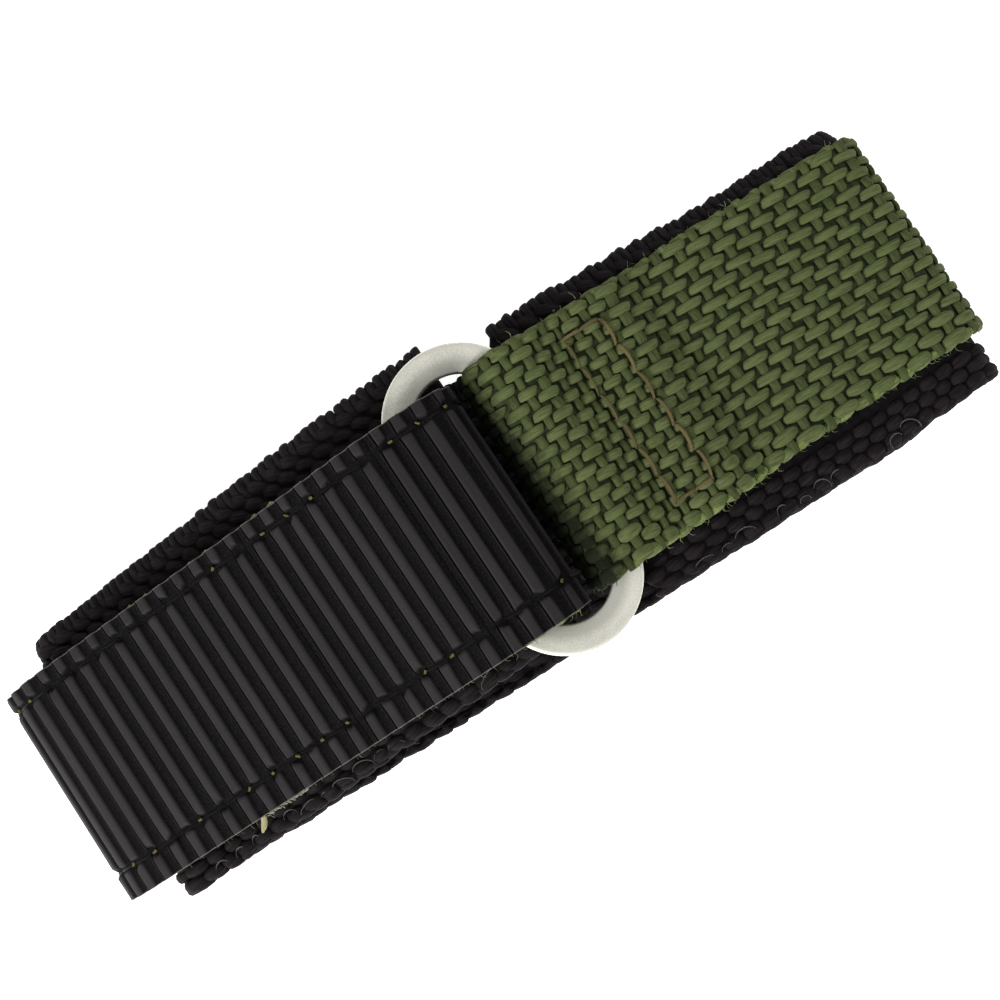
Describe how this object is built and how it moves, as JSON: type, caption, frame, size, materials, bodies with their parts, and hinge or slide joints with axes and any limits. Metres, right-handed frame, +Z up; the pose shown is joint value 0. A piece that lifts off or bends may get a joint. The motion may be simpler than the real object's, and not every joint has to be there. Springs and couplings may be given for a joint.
{
  "type": "hook and loop watch strap",
  "caption": "Closed woven watch strap: a wide pad inside an outer strap that is folded through an oval metal ring, with a ribbed tail held down by hook and loop tape.",
  "frame": {"origin": "on the flat outer face of the closed loop, under the middle of the ring's slot and on the strap's centre line", "axes": "+X along the strap from the tail's tip towards the fold round the ring, +Y across the strap, +Z up through the ring"},
  "size_m": [0.089, 0.0291, 0.0195],
  "materials": {
    "pad_webbing": "matt woven",
    "strap_webbing": "matt woven",
    "ring": "satin",
    "ribbed_tape": "matt ribbed",
    "hook_tape": "matt hooked",
    "loop_tape": "soft looped",
    "brown_thread": "twisted",
    "black_thread": "twisted"
  },
  "bodies": {
    "loop": {"pad": "pad_webbing", "outer_strap": "strap_webbing", "box_stitching": "brown_thread", "pad_end_stitching": "black_thread", "seat_stitching_left": "brown_thread", "seat_stitching_right": "brown_thread", "loop_tape": "loop_tape", "loop_tape_stitching": "black_thread", "ribbed_tape_fold": "ribbed_tape", "tape_stitching_fold": "black_thread"},
    "ring": {"ring": "ring"},
    "tail_middle": {"tail_webbing_middle": "strap_webbing", "ribbed_tape_middle": "ribbed_tape", "hook_tape_middle": "hook_tape", "tape_stitching_middle": "black_thread"},
    "tail_end": {"tail_webbing_end": "strap_webbing", "ribbed_tape_end": "ribbed_tape", "hook_tape_end": "hook_tape", "tape_stitching_end": "black_thread"}
  },
  "joints": [
    {"name": "tail_lift", "type": "hinge", "parent": "loop", "child": "tail_middle", "pos_m": [-0.00958, 0, 0.01949], "axis": [0, 1, 0], "range_deg": [0, 100]},
    {"name": "tail_end_peel", "type": "hinge", "parent": "tail_middle", "child": "tail_end", "pos_m": [-0.02833, 0, 0.0148], "axis": [0, 1, 0], "range_deg": [0, 70]},
    {"name": "ring_pivot", "type": "hinge", "parent": "loop", "child": "ring", "pos_m": [0.00475, 0, 0.01575], "axis": [0, 1, 0], "range_deg": [-1.5, 3]}
  ]
}
